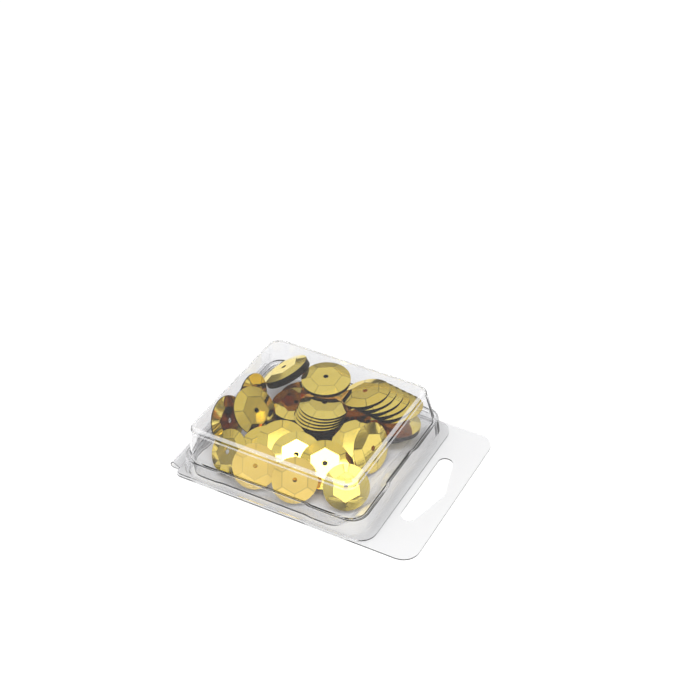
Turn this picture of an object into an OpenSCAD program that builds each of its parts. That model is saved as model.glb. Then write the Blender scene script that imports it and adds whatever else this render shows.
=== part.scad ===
// Clear hinged clamshell with a hang tab, closed over a heap of loose faceted cup sequins.
// +Z is up, +Y points to the hang tab, and the lid turns about a line along X behind the pack.

/* [Sheet] */
// Thickness of the clear sheet
sheet = 0.35; // [0.25:0.05:0.45]
// Width of the tray and of its hang tab
tray_w = 58; // [54:1:66]
// Length of the tray flange from the hinge to the end of the lid
flange_len = 63.5; // [62:0.5:72]
// Length of the hang tab beyond the lid
tab_len = 13.5; // [12:0.5:20]
// Corner radius of the hang tab
tab_corner = 5; // [2:0.5:8]
// Corner radius of the tray at the hinge
hinge_corner = 2; // [1:0.5:3]

/* [Plug rim] */
// Height of the rim above the tray flange
rim_h = 4.6; // [3.5:0.1:5]
// Flange left outside the rim at each side
rim_side_margin = 1.9; // [1.7:0.1:2.4]
// Flange left outside the rim at the tab end
rim_tab_margin = 3.4; // [2.6:0.1:4]
// Flange left outside the rim at the hinge
rim_hinge_margin = 1.2; // [1:0.1:1.6]
// Width of the rim's flat top
rim_land = 0.9; // [0.9:0.1:1.4]
// Corner radius of the rim
rim_corner = 5; // [4:0.5:6]
// Draft of the rim's outer wall in degrees
rim_draft = 5; // [4:0.5:8]
// Run of the rim's inner wall at each side
side_run = 0.3; // [0.2:0.1:0.6]
// Run of the rim's inner wall at the tab end
tab_run = 5; // [2:0.5:6]
// Run of the rim's inner wall at the hinge
hinge_run = 0.4; // [0.2:0.1:0.8]

/* [Snap relief] */
// Depth of the relief in the middle of each wall
relief_depth = 0.6; // [0.3:0.1:0.7]
// Length of the relief in each side wall
relief_side = 31; // [20:1:36]
// Length of the relief in the wall at the tab end
relief_tab = 18; // [10:1:26]
// Length of the relief in the wall at the hinge
relief_hinge = 32; // [20:1:34]
// Length of the slanted jog at each end of a relief
jog = 1.6; // [1:0.1:2.4]

/* [Lid] */
// Height of the closed pack
pack_h = 16; // [15.5:0.5:22]
// Gap between the two flanges
parting = 0.1; // [0.1:0.05:0.3]
// How far the lid flange lies inside the tray's edge
lid_inset = 0.5; // [0.3:0.1:0.8]
// Corner radius of the lid flange at its free end
lid_corner = 5; // [3:0.5:6]
// Clearance between the rim and the lid skirt
fit = 0.3; // [0.25:0.05:0.4]
// Clearance between the rim's top and the lid ledge
ledge_gap = 0.3; // [0.2:0.05:0.6]
// Width of the ledge where the dome rises from the skirt
ledge = 1.2; // [0.8:0.1:1.4]
// Lean of the dome's side walls over their height
side_lean = 1; // [0.6:0.1:1.6]
// Lean of the dome's wall at the tab end over its height
tab_lean = 2.6; // [2.4:0.1:3.4]
// Lean of the dome's wall at the hinge over its height
hinge_lean = 0.4; // [0.2:0.1:1]
// Radius of the dome's top edge
dome_edge = 1.6; // [1:0.1:2.4]

/* [Living hinge] */
// Thickness of the sheet in the hinge
hinge_sheet = 0.25; // [0.15:0.05:0.3]
// Radius of the hinge loop at the middle of its sheet
loop_r = 0.9; // [0.8:0.05:1.2]
// Distance of the loop's centre behind the hinge edge
loop_back = 1.8; // [1.6:0.1:2.4]
// Length of the loop across the pack
loop_len = 53; // [40:1:53]
// Gap between the two halves of the loop
loop_gap = 0.06; // [0.04:0.02:0.1]

/* [Hang slot] */
// Width of the delta slot
slot_w = 29; // [20:1:32]
// Height of the delta slot
slot_h = 7.8; // [7:0.1:8.5]
// Radius of the slot's ends and peak
slot_r = 2.3; // [1.6:0.1:2.6]
// Sheet left between the end of the lid and the slot
slot_margin = 2.2; // [1.6:0.1:3]

/* [Sequins] */
// Diameter of a sequin
seq_d = 15; // [14:0.25:15]
// Diameter of the smaller sequins at the near wall
seq_small = 13.2; // [12:0.2:14]
// Thickness of a sequin's film
seq_film = 0.14; // [0.1:0.01:0.16]
// Depth of a sequin's cup
seq_cup = 0.8; // [0.6:0.1:0.9]
// Width across the corners of a sequin's flat middle
seq_flat = 9.6; // [8:0.2:11]
// Diameter of a sequin's thread hole
seq_hole = 1.6; // [1:0.1:2]
// Smallest gap between nested sequins
seq_gap = 0.08; // [0.06:0.01:0.12]
// Lift of a nested sequin, in thicknesses of its film
seq_nest = 1.2; // [1.1:0.05:1.4]

/* [Hidden] */
clear_plastic = [0.86, 0.87, 0.9, 0.35];
matte_gold = [0.88, 0.74, 0.46];
bright_gold = [0.93, 0.82, 0.42];
olive_gold = [0.7, 0.6, 0.3];
amber = [0.78, 0.45, 0.1];

// Steps in a corner's arc, in the dome's edge, in the hinge loop and round a slot's corner
corner_steps = 6;
edge_steps = 4;
loop_steps = 10;
slot_steps = 24;

// Heights of the sheet's levels
rim_top = sheet + rim_h;
lid_flange = sheet + parting;
ledge_z = rim_top + ledge_gap;
lean_scale = 1 / (pack_h - ledge_z - sheet);

// Places along Y, measured from the hinge edge
tab_end = flange_len + tab_len;
loop_z = sheet / 2 + loop_r;
axis_y = -loop_back - loop_r - hinge_sheet / 2;
middle_y = (axis_y + tab_end) / 2;
relief_y = flange_len / 2 - rim_tab_margin;
slot_y = flange_len + slot_margin;

// An outline is [half width, hinge end, tab end, hinge corner radius, tab corner radius,
// relief depth, height].
function rim_outline(grow, rise, z) = [
    tray_w / 2 - rim_side_margin + grow - rise * tan(rim_draft),
    rim_hinge_margin - grow + rise * tan(rim_draft),
    flange_len - rim_tab_margin + grow - rise * tan(rim_draft),
    rim_corner, rim_corner, relief_depth, z];

// The rim's inner wall, from its top land down to the floor by a share from 0 to 1.
function well_outline(grow, share, z) =
    let (top = rim_outline(grow - rim_land, rim_h, z))
    [top[0] - share * side_run, top[1] + share * hinge_run, top[2] - share * tab_run,
     rim_corner, rim_corner, relief_depth * (1 - share / 2), z];

// The dome's wall, inside the skirt by the ledge, leaning in as it rises.
function dome_outline(grow, rise, z) =
    let (foot = rim_outline(fit + sheet - ledge + grow, ledge_z - sheet, z), share = rise * lean_scale)
    [foot[0] - share * side_lean, foot[1] + share * hinge_lean, foot[2] - share * tab_lean,
     rim_corner - ledge, rim_corner - ledge, 0, z];

function tray_edge(z) = [tray_w / 2, 0, tab_end, hinge_corner, tab_corner, 0, z];
function lid_edge(z) = [tray_w / 2 - lid_inset, 0, flange_len, hinge_corner, lid_corner, 0, z];

// One rounded corner about its centre, from the given angle through a quarter turn.
function corner(centre, radius, from, z) = [
    for (i = [0:corner_steps])
        let (a = from + 90 * i / corner_steps)
        [centre[0] + radius * cos(a), centre[1] + radius * sin(a), z]];

// A relief along one wall: in by its depth between two slanted jogs.
// The wall runs along direction dir, and inward points into the pack.
function relief(middle, dir, inward, length, depth, z) = [
    for (s = [[-1, 0], [-1, 1], [1, 1], [1, 0]])
        let (along = s[0] * (length / 2 - s[1] * jog), into = s[1] * depth)
        [middle[0] + dir[0] * along + inward[0] * into, middle[1] + dir[1] * along + inward[1] * into, z]];

// The closed ring of points of one outline, counter-clockwise from above.
function ring(o) =
    let (x = o[0], y0 = o[1], y1 = o[2], r0 = o[3], r1 = o[4], d = o[5], z = o[6])
    concat(
        relief([x, relief_y], [0, 1], [-1, 0], relief_side, d, z),
        corner([x - r1, y1 - r1], r1, 0, z),
        relief([0, y1], [-1, 0], [0, -1], relief_tab, d, z),
        corner([-x + r1, y1 - r1], r1, 90, z),
        relief([-x, relief_y], [0, -1], [1, 0], relief_side, d, z),
        corner([-x + r0, y0 + r0], r0, 180, z),
        relief([0, y0], [1, 0], [0, 1], relief_hinge, d, z),
        corner([x - r0, y0 + r0], r0, 270, z));

// A closed skin lofted through outlines, from its lower middle round its edge to its upper middle.
module loft(outlines) {
    rings = [for (o = outlines) ring(o)];
    n = len(rings[0]);
    last = len(rings) - 1;
    middle = (outlines[0][1] + outlines[0][2]) / 2;
    points = concat(
        [[0, middle, outlines[0][6]], [0, middle, outlines[last][6]]],
        [for (r = rings) for (p = r) p]);
    first_cap = [for (i = [0:n - 1]) [0, 2 + i, 2 + (i + 1) % n]];
    last_cap = [for (i = [0:n - 1]) [1, 2 + last * n + (i + 1) % n, 2 + last * n + i]];
    walls = [
        for (k = [0:last - 1])
            for (i = [0:n - 1])
                let (a = 2 + k * n, j = (i + 1) % n)
                    each [[a + i, a + n + i, a + j], [a + j, a + n + i, a + n + j]]];
    polyhedron(points, concat(first_cap, walls, last_cap));
}

// A band of the hinge sheet along a path of [y, z] points, extruded across the pack.
module hinge_band(path) {
    last = len(path) - 1;
    normals = [
        for (i = [0:last])
            let (d = path[min(i + 1, last)] - path[max(i - 1, 0)])
                [-d[1], d[0]] / norm(d) * hinge_sheet / 2];
    outline = concat(
        [for (i = [0:last]) path[i] + normals[i]],
        [for (i = [last:-1:0]) path[i] - normals[i]]);
    rotate([90, 0, 90])
        linear_extrude(height = loop_len, center = true)
            polygon(outline);
}

// Points of the hinge loop's middle line between two angles in the YZ plane.
function loop_arc(from, to) = [
    for (i = [0:loop_steps])
        let (a = from + (to - from) * i / loop_steps)
            [-loop_back + loop_r * cos(a), loop_z + loop_r * sin(a)]];

// Corner of the well where the near wall meets the hinge wall, from which the heap is measured
well_x = well_outline(0, 1, sheet)[0] - relief_depth / 2;
well_y = well_outline(0, 1, sheet)[1] + relief_depth / 2;

// Rows of the heap are measured in fifteenths of a sequin's diameter.
row_unit = seq_d / 15;

// Sequin diameters that the heap takes across, along and up the well, and its scale in a smaller well
heap_across = 3.35;
heap_along = 3.35;
heap_deep = 1.015;
fill = min(
    1,
    2 * well_x / (heap_across * seq_d),
    (well_outline(0, 1, sheet)[2] - relief_depth / 2 - well_y) / (heap_along * seq_d),
    (pack_h - 2 * sheet) / (heap_deep * seq_d));

// The heap, stack by stack
floor_stacks = [
    [12.1, 14.1, 0.2, 0, 0, 2, 0, 0, 0],
    [27.3, 14.3, 0.2, 0, 20, 4, 0, 0, 0],
    [42.5, 14.1, 0.2, 0, 40, 5, 0, 0, 0],
    [12.1, 29.3, 0.2, 0, 10, 3, 0, 0, 0],
    [27.3, 29.3, 0.2, 0, 30, 4, 0, 0, 0],
    [42.5, 29.3, 0.2, 0, 15, 4, 0, 0, 0],
    [42.5, 44.6, 0.9, -5, 90, 3, 0, 0, 0]];
front_stacks = [
    [4.7, 19.6, 6.15, 60, 22, 1, 0, 0, 0],
    [4.9, 32.6, 6.2, 60, 26, 1, 0, 0, 0],
    [8.8, 47, 6.2, 230, 28, 3, 0, 0, 0.2],
    [5.7, 9.6, 6.6, 232, -20, 1, 0, 0, 0]];
hinge_side_stacks = [
    [16.7, 3.65, 7.6, 252, 88, 2, 0, 0, 0],
    [29, 5.05, 7.8, 259, 90, 2, 0, 0, 0],
    [22.8, 9.2, 9.2, 230, 82, 2, 0, 0, 0]];
middle_stacks = [
    [14, 17.4, 5, 200, 28, 1, 0, 0, 0],
    [16.2, 21.7, 7, 203, 28, 2, 0, 0, 0.05],
    [14, 27.8, 6.3, 207, 28, 2, 0, 0, 0.1],
    [14.5, 37, 6.4, 207, 28, 2, 0, 0, 0.1],
    [34, 26.2, 10.6, 174, 0, 5, 0.8, 180, 0.1],
    [27.2, 40.8, 6.4, 203, 20, 3, 0, 0, 0.1],
    [36.5, 14.8, 4.6, 182, 0, 5, 0, 0, 0]];
tab_side_stacks = [
    [25.6, 46.8, 7.6, 250, 80, 1, 0, 0, 0],
    [42, 46, 5.6, 176, 0, 4, 0, 0, 0.2]];
top_stacks = [
    [42.8, 7.1, 11, 212, -90, 8, 0, 0, 0.05],
    [42.6, 22, 12.9, 183, 0, 4, 0, 0, 0.1],
    [42.6, 35.4, 12.45, 165, 90, 6, 2, 180, 0.1],
    [42.7, 21.5, 6.8, 178, 20, 4, 0, 0, 0],
    [42, 31, 4.6, 182, 0, 5, 0, 0, 0]];

// Half of the loop's gap as an angle at the loop's middle line
gap_angle = loop_gap / 2 / loop_r * 180 / PI;

// Angle at which the loop leaves for the lid
loop_end = 40;

// The delta slot: a straight side towards the lid and a peak towards the tab's end.
module slot_outline() {
    hull() {
        for (s = [-1, 1])
            translate([s * (slot_w / 2 - slot_r), slot_r])
                circle(r = slot_r, $fn = slot_steps);
        translate([0, slot_h - slot_r])
            circle(r = slot_r, $fn = slot_steps);
    }
}

module tray() {
    color(clear_plastic)
        translate([0, -middle_y, 0]) {
            difference() {
                loft([
                    well_outline(sheet, 1, 0),
                    well_outline(sheet, 0, rim_top - sheet),
                    rim_outline(-sheet, rim_h, rim_top - sheet),
                    rim_outline(-sheet, 0, 0),
                    tray_edge(0),
                    tray_edge(sheet),
                    rim_outline(0, 0, sheet),
                    rim_outline(0, rim_h, rim_top),
                    well_outline(0, 0, rim_top),
                    well_outline(0, 1, sheet)]);
                translate([0, slot_y, -sheet])
                    linear_extrude(height = 3 * sheet)
                        slot_outline();
            }
            hinge_band(concat(
                [[rim_hinge_margin / 2, sheet / 2]],
                loop_arc(270, 180 + gap_angle)));
        }
}

module lid() {
    shoulder = pack_h - dome_edge;
    inner_edge = dome_edge - sheet;
    color(clear_plastic)
        translate([0, -middle_y, 0]) {
            loft(concat(
                [for (i = [edge_steps:-1:0])
                    let (a = 90 * i / edge_steps)
                    dome_outline(-sheet - inner_edge * (1 - cos(a)), shoulder - ledge_z,
                                 shoulder + inner_edge * sin(a))],
                [
                    dome_outline(-sheet, 0, ledge_z),
                    rim_outline(fit, ledge_z - sheet, ledge_z),
                    rim_outline(fit, 0, lid_flange),
                    lid_edge(lid_flange),
                    lid_edge(lid_flange + sheet),
                    rim_outline(fit + sheet, 0, lid_flange + sheet),
                    rim_outline(fit + sheet, ledge_z - sheet, ledge_z + sheet),
                    dome_outline(0, 0, ledge_z + sheet)],
                [for (i = [0:edge_steps])
                    let (a = 90 * i / edge_steps)
                    dome_outline(-dome_edge * (1 - cos(a)), shoulder - ledge_z,
                                 shoulder + dome_edge * sin(a))]));
            hinge_band(concat(
                loop_arc(180 - gap_angle, loop_end),
                [[rim_hinge_margin / 2, lid_flange + sheet / 2]]));
        }
}

// Points of one face of a sequin, level by level: thread hole, flat middle, round rim.
seq_sides = 6;
seq_side_points = 3;
seq_rim_points = seq_side_points * seq_sides;
seq_slope = seq_cup / (seq_d / 2 - seq_flat / 2);
function seq_ring(count, radius, z) = [
    for (i = [0:count - 1])
        let (a = 360 * i / count)
        [radius * cos(a), radius * sin(a), z]];
function seq_face(z) = concat(
    seq_ring(seq_sides, seq_hole / 2, z),
    seq_ring(seq_sides, seq_flat / 2, z),
    seq_ring(seq_rim_points, seq_d / 2, z + seq_cup));

// Triangles of one face: the flat middle, then each facet's fan out to the rim.
seq_flat_faces = [
    for (i = [0:seq_sides - 1])
        let (j = (i + 1) % seq_sides)
        each [[i, seq_sides + i, j], [j, seq_sides + i, seq_sides + j]]];
seq_facet_faces = [
    for (i = [0:seq_sides - 1])
        let (a = seq_sides + i, b = seq_sides + (i + 1) % seq_sides, rim = 2 * seq_sides,
             r = [for (k = [0:seq_side_points]) rim + (seq_side_points * i + k) % seq_rim_points])
        each [[a, r[0], r[1]], [a, r[1], b], [b, r[1], r[2]], [b, r[2], r[3]]]];

// One cup sequin, its flat middle at the origin and its cup open upwards.
module sequin() {
    n = 2 * seq_sides + seq_rim_points;
    rim = 2 * seq_sides;
    upper = concat(seq_flat_faces, seq_facet_faces);
    lower = [for (f = upper) [f[2] + n, f[1] + n, f[0] + n]];
    hole_wall = [
        for (i = [0:seq_sides - 1])
            let (j = (i + 1) % seq_sides)
            each [[i, j, n + i], [j, n + j, n + i]]];
    rim_wall = [
        for (i = [0:seq_rim_points - 1])
            let (a = rim + i, b = rim + (i + 1) % seq_rim_points)
            each [[a, n + a, b], [b, n + a, n + b]]];
    points = concat(seq_face(seq_film / 2), seq_face(-seq_film / 2));
    polyhedron(points, [for (f = concat(upper, lower, hole_wall, rim_wall)) [f[2], f[1], f[0]]]);
}

// Nested sequins: each lies on the last, slid aside and lifted so that their facets stay clear.
// A stack is [from near wall, from hinge wall, above floor, tilt, turn, count, slide, slide direction,
// looseness], where looseness is added to the gap between its sequins.
module stack(s, size) {
    slide = s[6] * row_unit;
    lift = seq_film * seq_nest + seq_gap + s[8] * row_unit + slide * seq_slope;
    aside = slide * [cos(s[7]), sin(s[7])];
    translate([-s[0], s[1], s[2]] * row_unit)
        rotate([0, s[3], s[4]])
            for (i = [0:s[5] - 1])
                translate([i * aside[0], i * aside[1], i * lift])
                    scale(size)
                        sequin();
}

module heap(stacks, colour, size = 1) {
    color(colour)
        translate([well_x, well_y - middle_y, sheet])
            scale(fill)
                for (s = stacks)
                    stack(s, size);
}

module floor_sequins() {
    heap(floor_stacks, olive_gold);
}

module front_sequins() {
    heap(front_stacks, matte_gold, seq_small / seq_d);
}

module hinge_side_sequins() {
    heap(hinge_side_stacks, amber);
}

module middle_sequins() {
    heap(middle_stacks, bright_gold);
}

module tab_side_sequins() {
    heap(tab_side_stacks, olive_gold);
}

module top_sequins() {
    heap(top_stacks, olive_gold);
}

tray();
lid();
floor_sequins();
front_sequins();
hinge_side_sequins();
middle_sequins();
tab_side_sequins();
top_sequins();
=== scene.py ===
"""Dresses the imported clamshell: clear formed sheet, metallised cup sequins and a plain studio stage."""

import math
from typing import NamedTuple

import bmesh
import bpy
import numpy as np
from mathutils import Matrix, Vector


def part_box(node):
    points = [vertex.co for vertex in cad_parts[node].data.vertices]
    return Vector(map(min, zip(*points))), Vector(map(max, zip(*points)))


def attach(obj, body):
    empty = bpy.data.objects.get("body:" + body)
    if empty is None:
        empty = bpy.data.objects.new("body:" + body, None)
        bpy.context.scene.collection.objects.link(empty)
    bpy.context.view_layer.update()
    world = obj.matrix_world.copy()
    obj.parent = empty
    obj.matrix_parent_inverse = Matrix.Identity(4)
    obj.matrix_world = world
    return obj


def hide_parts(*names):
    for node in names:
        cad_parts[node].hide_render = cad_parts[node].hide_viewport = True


bl_info = {
    "name": "Clear clamshell pack",
    "version": (1, 0, 0),
    "blender": (4, 5, 0),
    "location": "3D View > Sidebar > Pack",
    "description": "Clear formed sheet, cup sequins and a studio stage for the packed clamshell",
    "category": "Object",
}

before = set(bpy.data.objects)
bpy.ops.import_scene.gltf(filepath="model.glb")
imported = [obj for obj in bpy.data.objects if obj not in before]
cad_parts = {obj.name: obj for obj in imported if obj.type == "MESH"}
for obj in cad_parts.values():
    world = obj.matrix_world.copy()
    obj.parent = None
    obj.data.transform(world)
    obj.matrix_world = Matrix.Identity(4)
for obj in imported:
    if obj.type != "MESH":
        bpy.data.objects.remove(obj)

SHEET_NODES = ("tray", "lid")
SEQUIN_NODES = (
    "floor_sequins",
    "front_sequins",
    "hinge_side_sequins",
    "middle_sequins",
    "tab_side_sequins",
    "top_sequins",
)
# Only this node keeps satin backs. The backs of all other sequins are a darker amber: partly the film's
# amber tint, partly painted shade inside the heap.
SATIN_NODE = "front_sequins"

# Points nearer than this, in metres, are one point.
SAME_POINT = 1e-6

# Formed sheet: what counts as one flat, as a fold, as a sharp edge and as level.
FLAT_ANGLE = math.radians(0.5)
FOLD_ANGLE = math.radians(25)
SHEET_SHARP_ANGLE = math.radians(35)
LEVEL_RISE = 1e-5
FOLD_STEPS = 2

# A face this low and this upright is the sheet's cut edge.
CUT_EDGE_HEIGHT = 0.0005
CUT_EDGE_SLOPE = 0.05

# Slopes of the two painted highlight bands along the dome's rounded edge, beside its wall and beside its
# top. Their faces get a partly white, less clear sheet, which is a painted highlight.
PAINTED_HIGHLIGHT_SLOPES = ((0.02, 0.45), (0.75, 0.99))

# Sequins: facets round one cup, the fold between two of them, and rings of points from hole to rim.
SIDES = 6
FACET_ANGLE = math.radians(4)
RINGS = 5
FOLD_RING = 2

# Each sequin's tone follows the last one's by this share, and the painted shade on its fold lines is this
# strong.
TONE_STEP = 0.618034
FAINTEST_CREASE_SHADE = 0.3
CREASE_PAINTED_SHADE = 0.4
ROUGHNESS_SPREAD = 0.2


class PackSheetSettings(bpy.types.PropertyGroup):
    """Look of the clear formed sheet."""

    tint: bpy.props.FloatVectorProperty(
        name="Tint",
        description="Colour of the clear sheet",
        subtype="COLOR",
        size=3,
        min=0.0,
        max=1.0,
        default=(0.93, 0.93, 0.937),
    )
    roughness: bpy.props.FloatProperty(
        name="Roughness",
        description="Roughness of the sheet's gloss",
        subtype="FACTOR",
        min=0.0,
        max=0.15,
        default=0.0,
    )
    index: bpy.props.FloatProperty(
        name="Index of refraction",
        description="How strongly the sheet bends light",
        min=1.0,
        max=2.0,
        default=1.36,
    )
    edge_radius: bpy.props.FloatProperty(
        name="Edge radius",
        description="Rounding of the sheet's level folds",
        subtype="DISTANCE",
        unit="LENGTH",
        min=0.0,
        default=0.0002,
    )
    lamp_share: bpy.props.FloatProperty(
        name="Lamp share",
        description="Share of lamp light that passes straight through one surface of the sheet",
        subtype="FACTOR",
        min=0.0,
        max=1.0,
        default=0.93,
    )
    dome_edge: bpy.props.FloatProperty(
        name="Dome edge",
        description="Height of the rounded edge round the dome's top",
        subtype="DISTANCE",
        unit="LENGTH",
        min=0.0,
        default=0.002,
    )
    # Clear share of the sheet in the painted highlight bands along the dome's edge: below 1 the sheet
    # there turns partly diffuse white, a painted highlight.
    clear_share: bpy.props.FloatProperty(
        name="Clear share",
        description="How clear the stretched sheet stays along the dome's edge",
        subtype="FACTOR",
        min=0.0,
        max=1.0,
        default=0.74,
    )


class PackSequinSettings(bpy.types.PropertyGroup):
    """Shape steps and look of the sequins."""

    rim_steps: bpy.props.IntProperty(
        name="Rim steps",
        description="Points along the rim of one facet",
        min=3,
        default=8,
    )
    crease: bpy.props.FloatProperty(
        name="Crease",
        description="Half the width of a pressed fold line",
        subtype="DISTANCE",
        unit="LENGTH",
        min=0.00005,
        default=0.00021,
    )
    bright: bpy.props.FloatVectorProperty(
        name="Bright gold",
        description="Colour of the mirror side",
        subtype="COLOR",
        size=3,
        min=0.0,
        max=1.0,
        default=(1.0, 0.8, 0.2),
    )
    matte: bpy.props.FloatVectorProperty(
        name="Matte gold",
        description="Colour of the satin side",
        subtype="COLOR",
        size=3,
        min=0.0,
        max=1.0,
        default=(0.92, 0.66, 0.14),
    )
    # Darker amber for the backs inside the heap than for the front sequins' satin backs: partly the
    # film's amber tint, partly painted shade in the heap's gaps.
    amber: bpy.props.FloatVectorProperty(
        name="Amber",
        description="Colour of the backs that lie inside the heap",
        subtype="COLOR",
        size=3,
        min=0.0,
        max=1.0,
        default=(0.5, 0.23, 0.03),
    )
    # The cut edge is painted near black, a painted shade for the gaps between stacked sequins; the film's
    # own edge is a clear amber.
    edge: bpy.props.FloatVectorProperty(
        name="Edge",
        description="Colour of the film's cut edge",
        subtype="COLOR",
        size=3,
        min=0.0,
        max=1.0,
        default=(0.02, 0.01, 0.004),
    )


class PackStageSettings(bpy.types.PropertyGroup):
    """Camera, floor and lamps."""

    camera_place: bpy.props.FloatVectorProperty(
        name="Camera place",
        description="Where the camera stands, in the pack's frame",
        subtype="TRANSLATION",
        unit="LENGTH",
        size=3,
        default=(0.2724, 0.1503, 0.2789),
    )
    camera_aim: bpy.props.FloatVectorProperty(
        name="Camera aim",
        description="Point at the middle of the picture",
        subtype="TRANSLATION",
        unit="LENGTH",
        size=3,
        default=(-0.04785, -0.0198, 0.0),
    )
    lens: bpy.props.FloatProperty(
        name="Lens",
        description="Focal length on a 36 mm sensor",
        unit="CAMERA",
        default=72.18,
    )
    world: bpy.props.FloatProperty(
        name="World",
        description="Strength of the grey light from above",
        min=0.0,
        default=0.8,
    )
    horizon: bpy.props.FloatProperty(
        name="Horizon",
        description="Strength of the grey light near the floor",
        min=0.0,
        default=0.1,
    )
    key: bpy.props.FloatProperty(
        name="Key lamp",
        description="Power of the soft lamp overhead",
        unit="POWER",
        min=0.0,
        default=9.4,
    )
    strip: bpy.props.FloatProperty(
        name="Strip lamp",
        description="Power of the narrow lamp that draws the highlights",
        unit="POWER",
        min=0.0,
        default=4.0,
    )
    front: bpy.props.FloatProperty(
        name="Front lamp",
        description="Power of the soft lamp above the camera",
        unit="POWER",
        min=0.0,
        default=3.4,
    )


def node_tree(name):
    """A new material with an empty node tree and its output."""
    mat = bpy.data.materials.new(name)
    mat.use_nodes = True
    mat.node_tree.nodes.clear()
    out = mat.node_tree.nodes.new("ShaderNodeOutputMaterial")
    return mat, mat.node_tree, out


def noise_node(tree, scale, detail):
    """Fine noise fixed to the object."""
    noise = tree.nodes.new("ShaderNodeTexNoise")
    noise.inputs["Scale"].default_value = scale
    noise.inputs["Detail"].default_value = detail
    coords = tree.nodes.new("ShaderNodeTexCoord")
    tree.links.new(coords.outputs["Object"], noise.inputs["Vector"])
    return noise


def colour_mix(tree, factor, first, second):
    """A mix of two colours by a factor; a first colour of None is linked by the caller."""
    mix = tree.nodes.new("ShaderNodeMix")
    mix.data_type = "RGBA"
    if first is not None:
        mix.inputs["A"].default_value = (*first, 1.0)
    mix.inputs["B"].default_value = (*second, 1.0)
    tree.links.new(factor, mix.inputs["Factor"])
    return mix


def shaded(colour, share):
    """A colour with all channels lowered to the same share."""
    return [c * share for c in colour]


def mesh_object(name, mesh):
    """A new object for the mesh, in the scene's collection."""
    obj = bpy.data.objects.new(name, mesh)
    bpy.context.scene.collection.objects.link(obj)
    return obj


def clear_sheet_material(name, settings, clear_share):
    """Glossy clear plastic that lets lamp light through. Where its clear share is below 1 it is partly
    diffuse white, a painted highlight.
    """
    mat, tree, out = node_tree(name)
    nodes, link = tree.nodes, tree.links.new
    glass = nodes.new("ShaderNodeBsdfPrincipled")
    glass.inputs["Transmission Weight"].default_value = clear_share
    glass.inputs["IOR"].default_value = settings.index
    glass.inputs["Roughness"].default_value = settings.roughness
    noise = noise_node(tree, scale=90.0, detail=2.0)
    tint = list(settings.tint)
    shade = colour_mix(tree, noise.outputs["Fac"], tint, shaded(tint, 0.985))
    link(shade.outputs["Result"], glass.inputs["Base Color"])
    open_air = nodes.new("ShaderNodeBsdfTransparent")
    open_air.inputs["Color"].default_value = (*[settings.lamp_share] * 3, 1.0)
    path = nodes.new("ShaderNodeLightPath")
    surface = glass.outputs["BSDF"]
    for ray in ("Is Shadow Ray", "Is Diffuse Ray"):
        mix = nodes.new("ShaderNodeMixShader")
        link(path.outputs[ray], mix.inputs["Fac"])
        link(surface, mix.inputs[1])
        link(open_air.outputs["BSDF"], mix.inputs[2])
        surface = mix.outputs["Shader"]
    link(surface, out.inputs["Surface"])
    return mat


def film_material(name, colour, fade, metallic, roughness):
    """Metallised film: its tone fades from sequin to sequin, and its fold lines are painted darker, a
    painted shade in the creases.
    """
    mat, tree, out = node_tree(name)
    nodes, link = tree.nodes, tree.links.new
    metal = nodes.new("ShaderNodeBsdfPrincipled")
    metal.inputs["Metallic"].default_value = metallic
    tone, fold = (nodes.new("ShaderNodeAttribute") for _ in range(2))
    tone.attribute_name, fold.attribute_name = "tone", "fold"
    faded = [c * k for c, k in zip(colour, fade)]
    shade = colour_mix(tree, tone.outputs["Fac"], colour, faded)
    # Fold lines are painted darker: a painted shade in the creases.
    crease_shaded = colour_mix(tree, fold.outputs["Fac"], None, shaded(colour, CREASE_PAINTED_SHADE))
    link(shade.outputs["Result"], crease_shaded.inputs["A"])
    link(crease_shaded.outputs["Result"], metal.inputs["Base Color"])
    rough = nodes.new("ShaderNodeMapRange")
    rough.inputs["To Min"].default_value = roughness * (1.0 - ROUGHNESS_SPREAD)
    rough.inputs["To Max"].default_value = roughness * (1.0 + ROUGHNESS_SPREAD)
    noise = noise_node(tree, scale=300.0, detail=3.0)
    link(noise.outputs["Fac"], rough.inputs["Value"])
    link(rough.outputs["Result"], metal.inputs["Roughness"])
    link(metal.outputs["BSDF"], out.inputs["Surface"])
    return mat


def is_fold(edge):
    """Whether an edge is a level fold of the sheet, and not one of its cut edges or its hinge."""
    if not edge.is_manifold or edge.calc_face_angle(0.0) < FOLD_ANGLE:
        return False
    a, b = (v.co for v in edge.verts)
    if abs(a.z - b.z) > LEVEL_RISE:
        return False
    for face in edge.link_faces:
        heights = [v.co.z for v in face.verts]
        upright = abs(face.normal.z) < CUT_EDGE_SLOPE
        if upright and max(heights) - min(heights) < CUT_EDGE_HEIGHT:
            return False
    return True


def in_painted_highlight(polygon, mesh, foot):
    """Whether a face lies on one of the two painted highlight bands along the dome's edge, above the
    edge's foot.
    """
    if min(mesh.vertices[i].co.z for i in polygon.vertices) < foot:
        return False
    slope = abs(polygon.normal.z)
    return any(low < slope < high for low, high in PAINTED_HIGHLIGHT_SLOPES)


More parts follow.
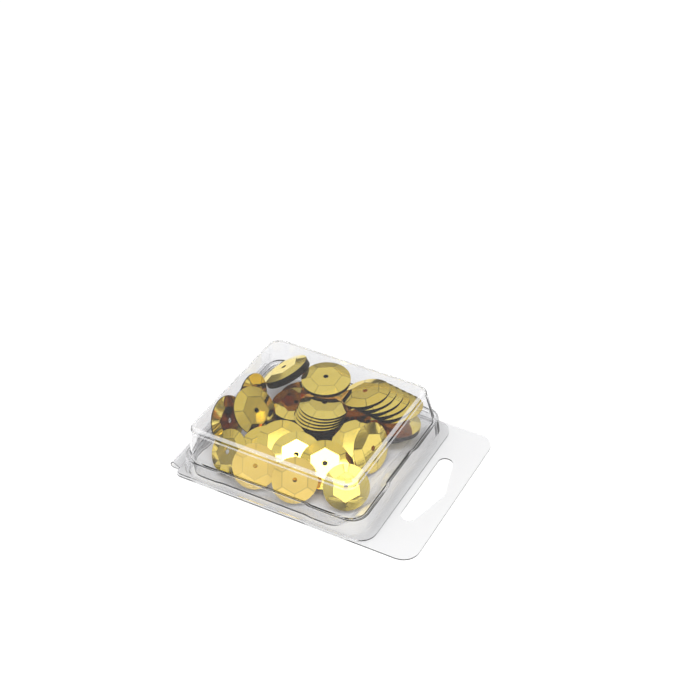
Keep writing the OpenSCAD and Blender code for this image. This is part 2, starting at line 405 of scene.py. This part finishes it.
def rounded_sheet(node, edge_radius):
    """A mesh of a sheet node with whole flats and softly rounded level folds."""
    bm = bmesh.new()
    bm.from_mesh(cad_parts[node].data)
    bmesh.ops.remove_doubles(bm, verts=bm.verts, dist=SAME_POINT)
    bmesh.ops.dissolve_limit(bm, angle_limit=FLAT_ANGLE, verts=bm.verts, edges=bm.edges)
    folds = [e for e in bm.edges if is_fold(e)]
    if not folds:
        raise RuntimeError(f"no folds were found on the {node}")
    bmesh.ops.bevel(
        bm,
        geom=folds,
        offset=edge_radius,
        offset_type="OFFSET",
        segments=FOLD_STEPS,
        profile=0.5,
        affect="EDGES",
        clamp_overlap=True,
    )
    mesh = bpy.data.meshes.new(node + "_sheet")
    bm.to_mesh(mesh)
    bm.free()
    for polygon in mesh.polygons:
        polygon.use_smooth = True
    mesh.set_sharp_from_angle(angle=SHEET_SHARP_ANGLE)
    return mesh


def even_out(obj, context):
    """Weight the normals by face size, so that large flats stay flat next to small roundings."""
    mesh = obj.data
    even = obj.modifiers.new("even", "WEIGHTED_NORMAL")
    even.keep_sharp = True
    evaluated = obj.evaluated_get(context.evaluated_depsgraph_get())
    obj.data = bpy.data.meshes.new_from_object(evaluated)
    obj.modifiers.clear()
    bpy.data.meshes.remove(mesh)


class PACK_OT_dress_sheet(bpy.types.Operator):
    """Replace tray and lid by copies with softly rounded folds and a clear plastic finish, with painted
    highlight bands along the dome's edge.
    """

    bl_idname = "pack.dress_sheet"
    bl_label = "Dress the clear sheet"

    def execute(self, context):
        settings = context.scene.pack_sheet
        clear = clear_sheet_material("clear_sheet", settings, 1.0)
        # The second material paints two highlight bands along the dome's rounded edge as a partly white,
        # less clear sheet.
        highlight_band = clear_sheet_material("stretched_sheet", settings, settings.clear_share)
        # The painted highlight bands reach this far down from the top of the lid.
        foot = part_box("lid")[1][2] - settings.dome_edge
        for node in SHEET_NODES:
            mesh = rounded_sheet(node, settings.edge_radius)
            mesh.materials.clear()
            for mat in (clear, highlight_band):
                mesh.materials.append(mat)
            for polygon in mesh.polygons:
                polygon.material_index = int(in_painted_highlight(polygon, mesh, foot))
            obj = mesh_object(node + "_sheet", mesh)
            even_out(obj, context)
            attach(obj, node)
            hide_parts(node)
        return {"FINISHED"}


def islands(mesh):
    """The points of each loose solid of a mesh, in a fixed order."""
    bm = bmesh.new()
    bm.from_mesh(mesh)
    bmesh.ops.remove_doubles(bm, verts=bm.verts, dist=SAME_POINT)
    seen, found = set(), []
    for start in bm.verts:
        if start in seen:
            continue
        group, todo = [], [start]
        seen.add(start)
        while todo:
            v = todo.pop()
            group.append(v.co.copy())
            for e in v.link_edges:
                w = e.other_vert(v)
                if w not in seen:
                    seen.add(w)
                    todo.append(w)
        found.append(np.array(group))
    bm.free()
    return sorted(found, key=lambda p: tuple(np.round(p.mean(0), 6)))


class SequinPlace:
    """Where one CAD sequin lies, and its own sizes."""

    def __init__(self, points):
        middle = points.mean(0)
        axis = np.linalg.svd(points - middle)[2][2]
        along = (points - middle) @ axis
        flat = points - middle - np.outer(along, axis)
        radius = np.linalg.norm(flat, axis=1)
        rim = radius > 0.9 * radius.max()
        hole = radius < 1.5 * radius.min()
        if along[rim].mean() < along[hole].mean():
            axis, along = -axis, -along
        hexagon = ~rim & ~hole
        self.rim_radius = radius[rim].mean()
        self.flat_radius = radius[hexagon].mean()
        self.hole_radius = radius[hole].mean()
        self.film = np.ptp(along[hole])
        self.cup = along[rim].mean() - along[hole].mean()
        corner = flat[hexagon][0]
        u = corner / np.linalg.norm(corner)
        origin = middle + axis * along[hole].mean()
        self.matrix = np.column_stack([u, np.cross(axis, u), axis, origin])

    def placed(self, points):
        """Points about the sequin's own axis, moved to where it lies."""
        return points @ self.matrix[:, :3].T + self.matrix[:, 3]


def sequin_points(place, steps, crease):
    """Points of one sequin about its own axis, and 1 for each that lies on a fold line."""
    sector = 2 * math.pi / SIDES
    points, folds = [], []
    for side in (place.film / 2, -place.film / 2):
        for ring in range(RINGS):
            for facet in range(SIDES):
                for step in steps:
                    angle = (facet + step) * sector
                    flat = place.flat_radius * math.cos(sector / 2) / math.cos((step - 0.5) * sector)
                    radii = (place.hole_radius, flat - crease, flat, flat + crease, place.rim_radius)
                    rise = max(0.0, radii[ring] - flat) / (place.rim_radius - flat) * place.cup
                    x, y = radii[ring] * math.cos(angle), radii[ring] * math.sin(angle)
                    points.append((x, y, rise + side))
                    on_ridge = ring > FOLD_RING and step == 0.0
                    folds.append(float(ring == FOLD_RING or on_ridge))
    return np.array(points), folds


def sequin_faces(count):
    """Faces of one sequin with rings of count points, and their slots: 0 mirror, 1 back, 2 edge."""

    def at(side, ring, i):
        return (RINGS * side + ring) * count + i % count

    rim = RINGS - 1
    faces, slots = [], []
    for i in range(count):
        j = i + 1
        for ring in range(rim):
            inner, outer = ring, ring + 1
            faces.append((at(0, inner, i), at(0, outer, i), at(0, outer, j), at(0, inner, j)))
            faces.append((at(1, inner, j), at(1, outer, j), at(1, outer, i), at(1, inner, i)))
            slots.extend((1, 0))
        faces.append((at(0, rim, i), at(1, rim, i), at(1, rim, j), at(0, rim, j)))
        faces.append((at(0, 0, j), at(1, 0, j), at(1, 0, i), at(0, 0, i)))
        slots.extend((2, 2))
    return faces, slots


def film_mesh(name, places, materials, settings):
    """One mesh of refined sequins at the given places."""
    points, faces, slots, tones, folds = [], [], [], [], []
    for k, place in enumerate(places):
        nick = settings.crease / (2 * math.pi / SIDES * place.flat_radius)
        rim_steps = settings.rim_steps
        steps = [0.0, nick, *[i / rim_steps for i in range(1, rim_steps)], 1.0 - nick]
        own_points, own_folds = sequin_points(place, steps, settings.crease)
        own_faces, own_slots = sequin_faces(SIDES * len(steps))
        tone = (k * TONE_STEP) % 1.0
        # Strength of the painted crease shade on this sequin's fold lines.
        strength = FAINTEST_CREASE_SHADE + (1.0 - FAINTEST_CREASE_SHADE) * tone
        faces.extend([tuple(len(points) + i for i in face) for face in own_faces])
        points.extend(place.placed(own_points).tolist())
        slots.extend(own_slots)
        tones.extend([tone] * len(own_points))
        folds.extend([fold * strength for fold in own_folds])
    mesh = bpy.data.meshes.new(name)
    mesh.from_pydata(points, [], faces)
    for mat in materials:
        mesh.materials.append(mat)
    mesh.polygons.foreach_set("material_index", slots)
    for polygon in mesh.polygons:
        polygon.use_smooth = True
    mesh.set_sharp_from_angle(angle=FACET_ANGLE)
    for attribute, values in (("tone", tones), ("fold", folds)):
        mesh.attributes.new(attribute, "FLOAT", "POINT").data.foreach_set("value", values)
    return mesh


class PACK_OT_lay_sequins(bpy.types.Operator):
    """Replace each group of CAD sequins by finer ones in the same places."""

    bl_idname = "pack.lay_sequins"
    bl_label = "Lay the sequins"

    def execute(self, context):
        settings = context.scene.pack_sequins
        mirror = film_material("gold_mirror", settings.bright, (0.9, 0.84, 0.6), 1.0, 0.07)
        satin = film_material("gold_satin", settings.matte, (0.94, 0.92, 0.84), 0.3, 0.45)
        # Backs inside the heap are darkened to amber: partly the film's tint, partly painted shade.
        amber = film_material("gold_amber", settings.amber, (0.75, 0.6, 0.5), 1.0, 0.15)
        # Near-black cut edge: painted shade for the gaps between stacks.
        edge = film_material("film_edge", settings.edge, (0.5, 0.5, 0.5), 0.6, 0.3)
        for node in SEQUIN_NODES:
            places = [SequinPlace(points) for points in islands(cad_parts[node].data)]
            if not places:
                raise RuntimeError(f"no sequins were found in {node}")
            # Front sequins keep satin backs. All others get the darker amber, partly painted shade.
            back = satin if node == SATIN_NODE else amber
            mesh = film_mesh(node + "_film", places, (mirror, back, edge), settings)
            obj = mesh_object(node + "_film", mesh)
            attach(obj, "tray")
            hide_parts(node)
        return {"FINISHED"}


class Lamp(NamedTuple):
    """A soft lamp on the camera's side of the pack."""

    name: str
    setting: str
    size: tuple
    away: float
    height: float
    lean: float


LAMPS = (
    Lamp("overhead", "key", size=(0.75, 1.5), away=0.3, height=1.6, lean=0.0),
    Lamp("strip", "strip", size=(0.12, 1.8), away=0.15, height=1.5, lean=0.0),
    Lamp("front", "front", size=(0.9, 0.9), away=0.85, height=0.85, lean=math.radians(45)),
)
FLOOR_SIZE = 3.0
FLOOR_DROP = 0.00002
FLOOR_GREYS = (0.93, 0.95)
FLOOR_GRAIN = 40.0
SKY_FULL_RISE = 0.7
SENSOR_WIDTH = 36.0
CLIP_START = 0.01


def lay_floor():
    """A pale paper floor just under the pack."""
    bm = bmesh.new()
    bmesh.ops.create_grid(bm, x_segments=1, y_segments=1, size=FLOOR_SIZE)
    mesh = bpy.data.meshes.new("floor")
    bm.to_mesh(mesh)
    bm.free()
    floor = mesh_object("floor", mesh)
    floor.location.z = -FLOOR_DROP
    mat, tree, out = node_tree("floor_paper")
    paper = tree.nodes.new("ShaderNodeBsdfPrincipled")
    paper.inputs["Roughness"].default_value = 0.9
    paper.inputs["Specular IOR Level"].default_value = 0.0
    noise = tree.nodes.new("ShaderNodeTexNoise")
    noise.inputs["Scale"].default_value = FLOOR_GRAIN
    grain = colour_mix(tree, noise.outputs["Fac"], *([grey] * 3 for grey in FLOOR_GREYS))
    tree.links.new(grain.outputs["Result"], paper.inputs["Base Color"])
    tree.links.new(paper.outputs["BSDF"], out.inputs["Surface"])
    mesh.materials.append(mat)


def light_sky(scene, settings):
    """Grey light that grows from the horizon upwards."""
    scene.world = bpy.data.worlds.new("studio")
    scene.world.use_nodes = True
    tree = scene.world.node_tree
    sky = tree.nodes["Background"]
    sky.inputs["Color"].default_value = (1.0, 1.0, 1.0, 1.0)
    coords = tree.nodes.new("ShaderNodeTexCoord")
    split = tree.nodes.new("ShaderNodeSeparateXYZ")
    rise = tree.nodes.new("ShaderNodeMapRange")
    rise.inputs["From Max"].default_value = SKY_FULL_RISE
    rise.inputs["To Min"].default_value = settings.horizon
    rise.inputs["To Max"].default_value = settings.world
    tree.links.new(coords.outputs["Generated"], split.inputs["Vector"])
    tree.links.new(split.outputs["Z"], rise.inputs["Value"])
    tree.links.new(rise.outputs["Result"], sky.inputs["Strength"])


def hang_lamps(scene, settings, turn):
    """The soft lamps, in the upright plane of the camera's view."""
    for kind in LAMPS:
        light = bpy.data.lights.new(kind.name, "AREA")
        light.shape = "RECTANGLE"
        light.size, light.size_y = kind.size
        light.energy = getattr(settings, kind.setting)
        lamp = bpy.data.objects.new(kind.name, light)
        scene.collection.objects.link(lamp)
        lamp.location = (kind.away * math.cos(turn), kind.away * math.sin(turn), kind.height)
        lamp.rotation_euler = (0.0, kind.lean, turn)


def set_camera(scene, settings, look):
    """The camera at the photograph's angle."""
    lens = bpy.data.cameras.new("photo")
    lens.lens = settings.lens
    lens.sensor_width = SENSOR_WIDTH
    lens.clip_start = CLIP_START
    camera = bpy.data.objects.new("photo", lens)
    scene.collection.objects.link(camera)
    camera.location = settings.camera_place
    camera.rotation_euler = look.to_track_quat("-Z", "Y").to_euler()
    scene.camera = camera


class PACK_OT_build_stage(bpy.types.Operator):
    """Set up a pale floor, soft lamps and a camera at the photograph's angle."""

    bl_idname = "pack.build_stage"
    bl_label = "Build the stage"

    def execute(self, context):
        scene, settings = context.scene, context.scene.pack_stage
        look = Vector(settings.camera_aim) - Vector(settings.camera_place)
        lay_floor()
        light_sky(scene, settings)
        hang_lamps(scene, settings, math.atan2(-look.y, -look.x))
        set_camera(scene, settings, look)
        scene.view_settings.view_transform = "Standard"
        return {"FINISHED"}


class PACK_PT_panel(bpy.types.Panel):
    """Steps and settings of the pack."""

    bl_idname = "PACK_PT_panel"
    bl_label = "Clear clamshell pack"
    bl_space_type = "VIEW_3D"
    bl_region_type = "UI"
    bl_category = "Pack"

    def draw(self, context):
        for operator, settings in STEPS:
            box = self.layout.box()
            group = getattr(context.scene, settings)
            for name in type(group).__annotations__:
                box.prop(group, name)
            box.operator(operator)


STEPS = (
    ("pack.dress_sheet", "pack_sheet"),
    ("pack.lay_sequins", "pack_sequins"),
    ("pack.build_stage", "pack_stage"),
)
SETTINGS = {
    "pack_sheet": PackSheetSettings,
    "pack_sequins": PackSequinSettings,
    "pack_stage": PackStageSettings,
}
CLASSES = (
    *SETTINGS.values(),
    PACK_OT_dress_sheet,
    PACK_OT_lay_sequins,
    PACK_OT_build_stage,
    PACK_PT_panel,
)


def register():
    for cls in CLASSES:
        bpy.utils.register_class(cls)
    for name, cls in SETTINGS.items():
        setattr(bpy.types.Scene, name, bpy.props.PointerProperty(type=cls))


def unregister():
    for name in SETTINGS:
        delattr(bpy.types.Scene, name)
    for cls in reversed(CLASSES):
        bpy.utils.unregister_class(cls)


def main():
    register()
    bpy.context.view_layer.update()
    bpy.ops.pack.dress_sheet()
    bpy.ops.pack.lay_sequins()
    bpy.ops.pack.build_stage()


if __name__ == "__main__":
    main()
